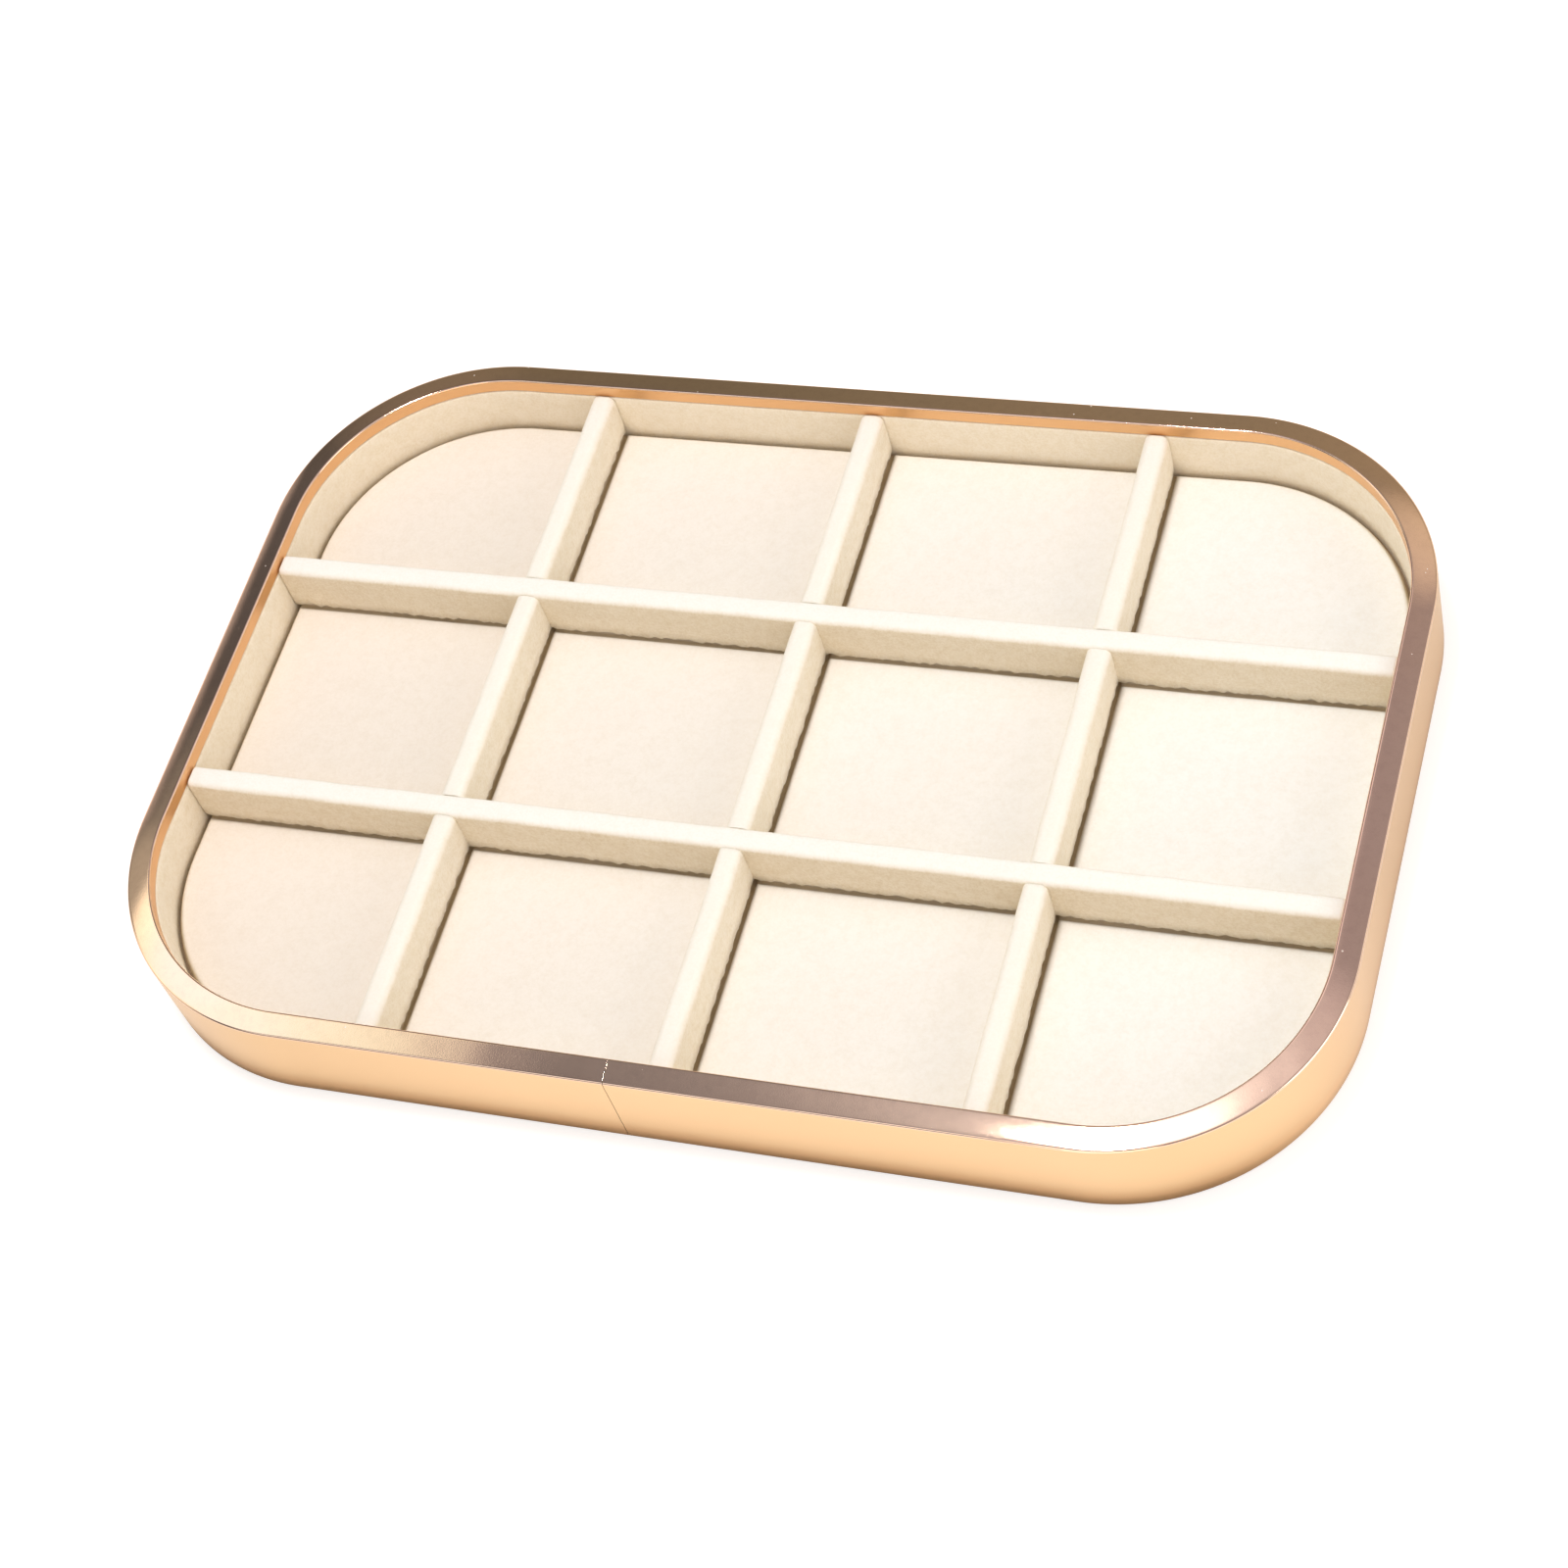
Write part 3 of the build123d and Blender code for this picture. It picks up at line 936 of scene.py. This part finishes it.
def frame_finish(face):
    """Which of the frame's finishes a face has."""
    inside, way = edge_distance(face.center.x, face.center.y)
    on_wall = inside < WALL_DEPTH + ARRIS / 2 and face.normal.dot(way) > LOOKS_OUT
    on_foot = inside < FOOT_RADIUS and face.normal.z < LOOKS_DOWN
    if face.normal.z > LOOKS_UP and face.center.z > LIP_BOTTOM:
        return RIM
    if on_wall or on_foot:
        return WALL
    if face.center.z > LIP_BOTTOM - LIP_MARGIN and inside > RIM_WIDTH - INNER_ARRIS:
        return LIP
    return INSIDE


def note_shares(piece, name, share):
    """Write down a share from 0 to 1 for each point of a piece, for its finish."""
    noted = piece.data.attributes.new(name, "FLOAT", "POINT")
    for vertex, value in zip(piece.data.vertices, noted.data):
        value.value = clamp(share(vertex))


def dress(piece, body, *materials, stands_for, slot):
    """Give a piece its finishes, the body that it moves with and the nodes that it stands for."""
    piece.data.materials.clear()
    for material in materials:
        piece.data.materials.append(material)
    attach(piece, body)
    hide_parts(*stands_for)


def repaint(node, material):
    """Give a node that keeps its shape a better finish."""
    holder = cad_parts[node]
    holder.data.materials.clear()
    holder.data.materials.append(material)


def dress_divider(name, wrap, body, suede):
    """Finish a divider's wrap, with painted light where it looks up, and the board in it."""
    note_shares(wrap, "upward", lambda vertex: (vertex.normal.z - UPWARD_START) / UPWARD_SPAN)
    dress(wrap, body, suede, stands_for=[f"{name}_wrap"], slot="cream_suede_cloth")
    repaint(f"{name}_board", fibreboard)


band = frame_metal_band()
dress(
    band,
    "tray",
    rim_mirror,
    wall_satin,
    lip_gold,
    plain_inside,
    stands_for=["frame_band"],
    slot="frame_metal",
)
for face in band.data.polygons:
    face.material_index = frame_finish(face)

liner = liner_cloth_band()
dress(liner, "tray", liner_suede, stands_for=["liner_cloth"], slot="cream_suede_cloth")

pad = padded_floor()
# Painted shade where the floor is tucked down beside the dividers and at its rolled edge
note_shares(pad, "painted_crease_shade", lambda vertex: (FLOOR_TOP + CREASE_SHADE_START - vertex.co.z) / CREASE_SHADE_DEPTH)
dress(pad, "tray", floor_suede, stands_for=["floor_cloth", "floor_foam"], slot="cream_suede_cloth")

felt_low, felt_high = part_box("underside_sheet")
felt_sheet = underside_felt(felt_low, felt_high)
dress(felt_sheet, "tray", felt, stands_for=["underside_sheet"], slot="underside_cloth")

for place, place_y, seed in (("rear", LONG_DIVIDER_Y, 11), ("front", -LONG_DIVIDER_Y, 21)):
    divider = f"long_divider_{place}"
    wrap = long_wrap(f"{divider}_padding", place_y, seed)
    dress_divider(divider, wrap, divider, long_divider_suede_painted_shade)

for place, place_x, seed in zip(("left", "middle", "right"), CROSS_PLACES, (51, 61, 71)):
    divider = f"cross_divider_{place}"
    wrap = cross_wrap(f"{divider}_padding", place_x, seed)
    dress_divider(divider, wrap, "divider_grid", cross_divider_suede_painted_light)

repaint("base_board", fibreboard)
repaint("liner_board", greyboard)
repaint("floor_card", greyboard)
repaint("frame_splice", mill_aluminium)
repaint("splice_screws", zinc_steel)


# The table

TABLE_SIZE = 12
TABLE_DROP = 0.02 * MM
TABLE_COLOUR = (0.52, 0.52, 0.52, 1)
TABLE_GLOW = 0.68

# Where the metal finds the table darker: beside the right wall, at the left and by the front
MIRRORED = 0.73
MIRRORED_RIGHT = 0.30
RIGHT_X = (130 * MM, 190 * MM)
RIGHT_Y = (-100 * MM, -10 * MM)
LEFT_X = (-160 * MM, 0.0)
LEFT_SHADE = ((0.0, 0.74), (0.7, 0.97), (1.0, 1.0))
CONTACT_Y = (-85 * MM, -112 * MM)
CONTACT_WIDTH = 8 * MM
CONTACT_SHADE = ((0.0, 0.05), (0.35, 0.10), (0.55, 0.60), (0.8, 1.0))


def contact_shade(finish):
    """The dark band along the front of the tray, by the distance from its outline."""
    past_corner = finish.vector("ABSOLUTE", finish.place)
    past_corner = finish.vector("SUBTRACT", past_corner, (CORNER_X, CORNER_Y, 0))
    past_corner = finish.vector("MAXIMUM", past_corner, (0, 0, 0))
    reach = finish.vector("LENGTH", past_corner)
    away = finish.spread(reach, 0.0, 1.0, CORNER_RADIUS, CORNER_RADIUS + CONTACT_WIDTH)
    return finish.mix(finish.along("Y", *CONTACT_Y), WHITE, finish.ramp(away, *CONTACT_SHADE))


def mirrored_shade(finish):
    """How bright the table is in the metal."""
    right = finish.times(finish.along("X", *RIGHT_X), finish.along("Y", *RIGHT_Y))
    left = finish.ramp(finish.along("X", *LEFT_X), *LEFT_SHADE)
    shade = finish.times(finish.spread(right, MIRRORED, MIRRORED_RIGHT), left)
    return finish.times(shade, contact_shade(finish))


def table_top():
    """A white table that glows for the eye and in the metal, but casts no light of its own."""
    deselect_everything()
    bpy.ops.mesh.primitive_plane_add(size=TABLE_SIZE, location=(0, 0, -TABLE_DROP))
    piece = bpy.context.object
    piece.name = "table_top"
    finish = Finish("table_white")
    path = finish.node("LightPath").outputs
    seen = finish.highest(path["Is Camera Ray"], path["Is Glossy Ray"])
    seen = finish.highest(seen, path["Is Transmission Ray"])
    to_camera = finish.spread(path["Is Camera Ray"], 0.0, TABLE_GLOW)
    finish.set(
        Base_Color=TABLE_COLOUR,
        Roughness=1.0,
        Specular_IOR_Level=0.0,
        Emission_Color=WHITE,
        Emission_Strength=finish.times(seen, finish.highest(mirrored_shade(finish), to_camera)),
    )
    piece.data.materials.append(finish.material)


# The room that the metal mirrors

# The room's light from the left to the right
WALLS = (
    (0.10, (0.088, 0.086, 0.085)),
    (0.30, (0.15, 0.145, 0.155)),
    (0.365, (0.25, 0.235, 0.255)),
    (0.56, (0.36, 0.315, 0.335)),
    (0.80, (0.45, 0.43, 0.42)),
)
# Up from the horizon
HORIZON = ((0.0, (0.80, 0.70, 0.57)), (0.22, (0.74, 0.65, 0.52)), (0.36, 0.0))
# Towards the rear
YELLOWING = ((0.54, 1.0), (0.68, (1.0, 0.96, 0.80)), (0.80, (1.0, 0.94, 0.62)))

# The pale pane at the left: a glow with its way and its light at angles from there in degrees,
# and a field from left to right and from front to rear
LEFT_GLOW = (
    (-0.595, 0.19, 0.781),
    (14.8, 0.0),
    (13.8, (0.09, 0.085, 0.07)),
    (12.9, (0.42, 0.39, 0.32)),
    (12.0, (0.88, 0.84, 0.66)),
    (9, (1.15, 1.15, 0.98)),
    (6, (1.2, 1.22, 1.2)),
    (3, (1.25, 1.25, 1.3)),
)
PANE_X = (-0.66, -0.38)
PANE_Y = (-0.06, 0.26)
PANE_ACROSS = (
    (0.0, 0.0),
    (0.21, (1.1, 1.2, 1.2)),
    (0.71, (1.05, 1.2, 1.17)),
    (0.75, (1.0, 1.15, 1.05)),
    (0.80, (0.95, 1.03, 0.86)),
    (0.857, (0.90, 0.93, 0.735)),
    (0.889, (0.65, 0.59, 0.52)),
    (0.929, (0.17, 0.15, 0.16)),
    (0.982, 0.0),
)
PANE_ALONG = ((0.0, 0.0), (0.2, 1.0), (0.8, 1.0), (1.0, 0.0))

# The other glows: the way to each, then its light at angles from there in degrees
OTHER_GLOWS = {
    "overhead": (
        (-0.06, 0.14, 0.988),
        (21, 0.0),
        (19.2, 0.065),
        (17.4, 0.085),
        (15.5, 0.13),
        (14.5, 0.22),
        (13.6, 0.29),
        (12.4, 0.31),
        (11.5, 0.28),
        (11, 0.33),
        (8, 0.70),
        (4.5, 1.6),
    ),
    "right of overhead": ((0.12, 0.34, 0.93), (10, 0.0), (5, (0.22, 0.20, 0.21))),
    "left": ((-0.73, 0.33, 0.60), (9, 0.0), (3, (0.34, 0.32, 0.25))),
    "far left": ((-0.85, -0.08, 0.52), (19, 0.0), (12, (1.0, 0.92, 0.72))),
    "far left behind": ((-0.80, 0.47, 0.34), (11, 0.0), (6, (0.75, 0.64, 0.58))),
    "left behind": ((-0.52, 0.74, 0.42), (10, 0.0), (2, (0.09, 0.07, 0.05))),
    "behind": ((0.11, 0.70, 0.705), (8.5, 0.0), (3, (0.33, 0.28, 0.21))),
    "high behind": ((-0.08, 0.50, 0.86), (11, 0.0), (6, (0.58, 0.49, 0.50))),
    "right": ((0.56, 0.48, 0.68), (17, 0.0), (10, (0.60, 0.58, 0.52))),
    "high in front": ((-0.31, -0.47, 0.83), (20, 0.0), (14, 0.85), (6, 1.0)),
}
GLOW_REACH = cos(radians(24))


def glow(nodes, way, *steps):
    """Light by the angle from a direction, in steps that come nearer to it."""
    near = nodes.vector("DOT_PRODUCT", nodes.place, Vector(way).normalized())
    share = nodes.spread(near, 0.0, 1.0, GLOW_REACH, 1.0)
    stops = [
        ((cos(radians(angle)) - GLOW_REACH) / (1 - GLOW_REACH), light) for angle, light in steps
    ]
    return nodes.ramp(share, *stops)


def room():
    """Dark to the left and paler to the right, with pale fields, and white for the camera."""
    world = bpy.data.worlds.new("room")
    bpy.context.scene.world = world
    world.use_nodes = True
    nodes = Nodes(world.node_tree, "Generated")
    walls = nodes.ramp(nodes.along("X", -1.0, 1.0), *WALLS)
    yellowing = nodes.ramp(nodes.along("Y", 0.0, 1.0), *YELLOWING)
    pane_across = nodes.ramp(nodes.along("X", *PANE_X), *PANE_ACROSS)
    pane_along = nodes.ramp(nodes.along("Y", *PANE_Y), *PANE_ALONG)
    pane = nodes.mix(1.0, pane_across, pane_along, "MULTIPLY")
    light = nodes.mix(1.0, walls, yellowing, "MULTIPLY")
    for more in (
        nodes.ramp(nodes.along("Z", 0.0, 1.0), *HORIZON),
        nodes.mix(1.0, glow(nodes, *LEFT_GLOW), pane, "LIGHTEN"),
        *(glow(nodes, *rows) for rows in OTHER_GLOWS.values()),
    ):
        light = nodes.mix(1.0, light, more, "ADD")
    to_camera = nodes.node("LightPath").outputs["Is Camera Ray"]
    background = nodes.tree.nodes["Background"]
    nodes.link(nodes.mix(to_camera, light, WHITE), background.inputs["Color"])


# The lamps and the camera

# The way from the tray, the distance, the size, the power and the colour
LAMPS = {
    "overhead_lamp": ((-0.085, 0.035, 0.99), 1.7, 0.24, 12.2, (1.0, 0.99, 0.985)),
    "right_fill": ((0.88, -0.05, 0.50), 1.1, 0.6, 2.6, (1.0, 0.96, 0.92)),
    "front_fill": ((0.10, -0.93, 0.42), 1.8, 1.0, 5.0, (1.0, 0.83, 0.62)),
}

# The camera that fits the rim's edges in the photo, with its lens and sensor in millimetres
LENS = 76.83
SENSOR = 36
CLIPPING = (0.05, 30)
CAMERA_PLACE = Vector((0.3092398, -0.4816181, 0.7613269))
CAMERA_RIGHT = Vector((0.9395365583, 0.2649393349, -0.2169751239))
CAMERA_DOWN = Vector((0.1026780201, -0.8223928226, -0.5595777600))
CAMERA_AHEAD = Vector((-0.3266929442, 0.5034651866, -0.7998715685))


def soft_box(name, way, distance, size, power, colour):
    """A square lamp in a direction from the tray, turned towards it."""
    direction = Vector(way).normalized()
    bpy.ops.object.light_add(type="AREA", location=direction * distance)
    lamp = bpy.context.object
    lamp.name = name
    lamp.data.shape = "SQUARE"
    lamp.data.size = size
    lamp.data.energy = power
    lamp.data.color = colour
    lamp.rotation_mode = "QUATERNION"
    lamp.rotation_quaternion = direction.to_track_quat("Z", "Y")


def camera():
    eye = bpy.data.cameras.new("eye")
    eye.lens = LENS
    eye.sensor_width = SENSOR
    eye.clip_start, eye.clip_end = CLIPPING
    holder = bpy.data.objects.new("eye", eye)
    bpy.context.scene.collection.objects.link(holder)
    turned = Matrix((CAMERA_RIGHT, -CAMERA_DOWN, -CAMERA_AHEAD)).transposed().to_4x4()
    holder.matrix_world = Matrix.Translation(CAMERA_PLACE) @ turned
    bpy.context.scene.camera = holder


table_top()
room()
deselect_everything()
for name, lamp in LAMPS.items():
    soft_box(name, *lamp)
camera()
bpy.context.scene.view_settings.view_transform = "Standard"
